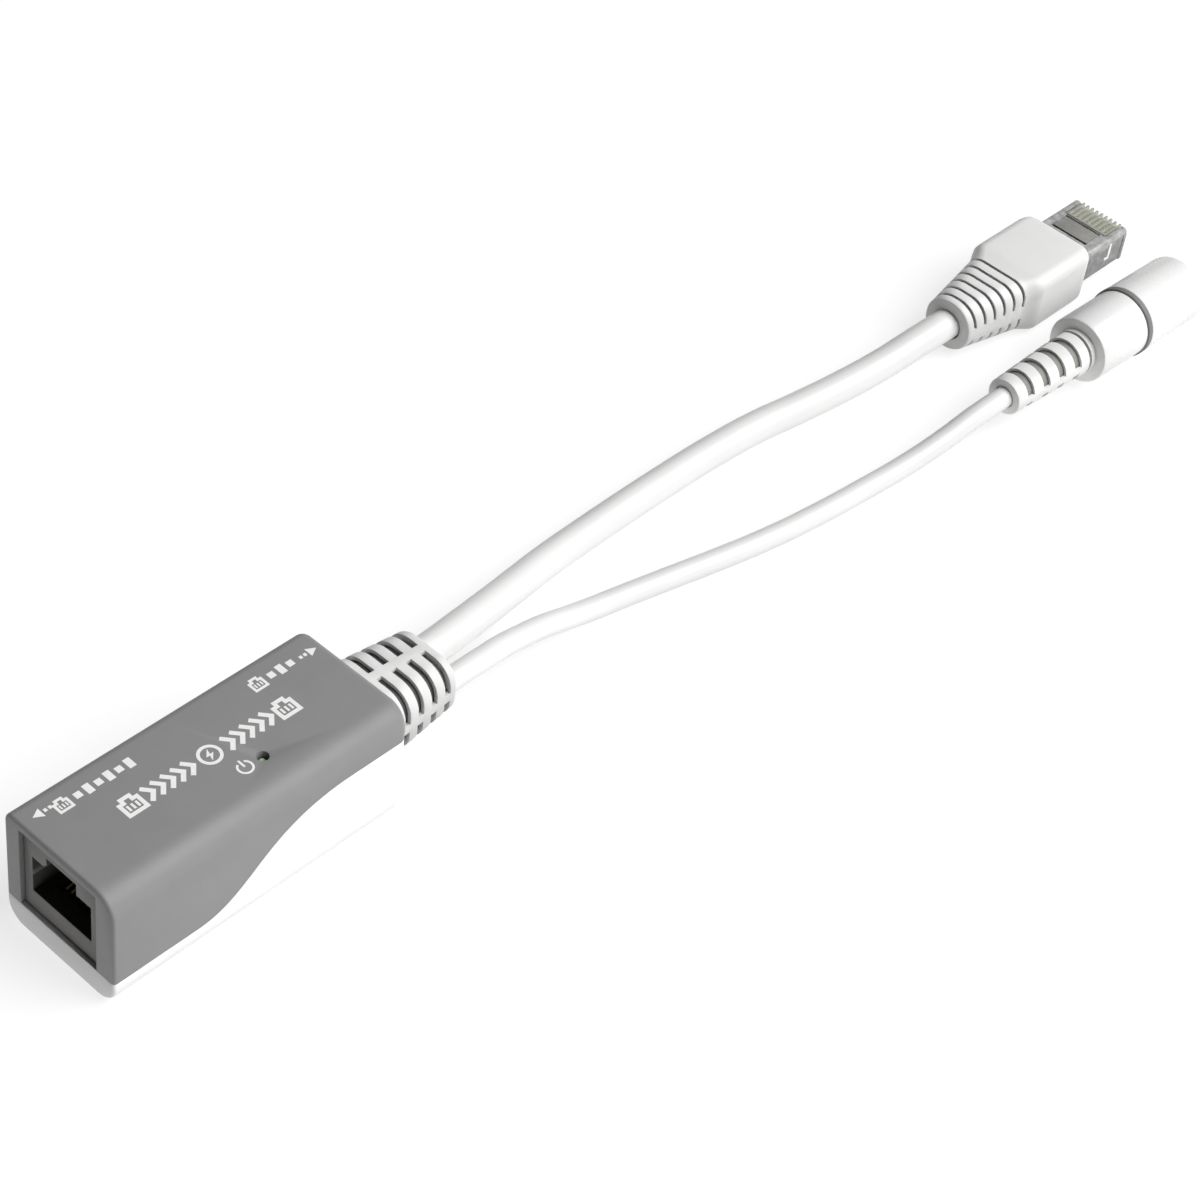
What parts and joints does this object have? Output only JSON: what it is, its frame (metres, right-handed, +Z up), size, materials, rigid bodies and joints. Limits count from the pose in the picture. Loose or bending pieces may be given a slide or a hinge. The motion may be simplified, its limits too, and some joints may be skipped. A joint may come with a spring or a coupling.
{
  "type": "poe injector",
  "caption": "Passive in-line PoE injector: slim snap-together housing with a network jack, and two short leads ending in a shielded network plug and a DC barrel socket.",
  "frame": {"origin": "centre of the housing's flat underside", "axes": "+X from the network jack towards the leads, +Z up from the surface it stands on"},
  "size_m": [0.2418, 0.0351, 0.0208],
  "materials": {
    "cover_plastic": "fine satin texture",
    "tray_plastic": "satin",
    "jack_plastic": "matte",
    "carrier_plastic": "matte",
    "contact_gold": "bright gold flash",
    "board_laminate": "solder mask gloss",
    "component_black": "moulded epoxy",
    "led_lens": "tinted clear",
    "capacitor_can": "drawn can",
    "fuse_body": "matte",
    "relief_white": "soft moulded",
    "relief_dark": "matte",
    "lead_jacket": "smooth PVC",
    "pair_orange": "insulation",
    "pair_green": "insulation",
    "pair_blue": "insulation",
    "pair_brown": "insulation",
    "wire_red": "insulation",
    "wire_black": "insulation",
    "plug_clear": "clear polycarbonate",
    "shield_steel": "nickel plated sheet",
    "boot_white": "soft moulded",
    "dc_white": "smooth moulded",
    "dc_ring_grey": "matte",
    "dc_black": "matte",
    "pin_steel": "nickel plated",
    "leaf_copper": "spring bronze"
  },
  "bodies": {
    "injector": {"top_cover": "cover_plastic", "bottom_tray": "tray_plastic", "jack_housing": "jack_plastic", "jack_contact_carrier": "carrier_plastic", "circuit_board": "board_laminate", "lan_transformer": "component_black", "led_resistor": "component_black", "blocking_diode": "component_black", "power_led": "led_lens", "input_capacitor": "capacitor_can", "resettable_fuse": "fuse_body", "strain_relief": "relief_white", "dc_strain_relief": "relief_white", "relief_core": "relief_dark", "dc_relief_core": "relief_dark", "network_lead": "lead_jacket", "dc_lead": "lead_jacket", "network_pair_1": "pair_orange", "network_pair_2": "pair_green", "network_pair_3": "pair_blue", "network_pair_4": "pair_brown", "dc_wire_positive": "wire_red", "dc_wire_negative": "wire_black", "plug_body": "plug_clear", "plug_load_bar": "plug_clear", "plug_shield": "shield_steel", "plug_contact_1": "contact_gold", "plug_contact_2": "contact_gold", "plug_contact_3": "contact_gold", "plug_contact_4": "contact_gold", "plug_contact_5": "contact_gold", "plug_contact_6": "contact_gold", "plug_contact_7": "contact_gold", "plug_contact_8": "contact_gold", "plug_boot": "boot_white", "dc_rear_barrel": "dc_white", "dc_front_barrel": "dc_white", "dc_ring": "dc_ring_grey", "dc_insulator": "dc_black", "dc_centre_pin": "pin_steel"},
    "jack_contacts": {"jack_contact_1": "contact_gold", "jack_contact_2": "contact_gold", "jack_contact_3": "contact_gold", "jack_contact_4": "contact_gold", "jack_contact_5": "contact_gold", "jack_contact_6": "contact_gold", "jack_contact_7": "contact_gold", "jack_contact_8": "contact_gold"},
    "plug_latch_lever": {"plug_latch": "plug_clear"},
    "dc_leaf": {"dc_leaf_contact": "leaf_copper"}
  },
  "joints": [
    {"name": "jack_contact_flex", "type": "hinge", "parent": "injector", "child": "jack_contacts", "pos_m": [-0.02155, 0.0003, 0.0076], "axis": [0, 1, 0], "range_deg": [0, 10], "stiffness_Nm_per_rad": 0.02},
    {"name": "plug_latch_flex", "type": "hinge", "parent": "injector", "child": "plug_latch_lever", "pos_m": [0.2136, 0.0048, 0.00115], "axis": [0, 1, 0], "range_deg": [0, 4], "stiffness_Nm_per_rad": 0.1},
    {"name": "dc_leaf_flex", "type": "hinge", "parent": "injector", "child": "dc_leaf", "pos_m": [0.20159, -0.01521, 0.0098], "axis": [0.0262, 0.9997, 0], "range_deg": [-5, 0], "stiffness_Nm_per_rad": 0.03}
  ]
}
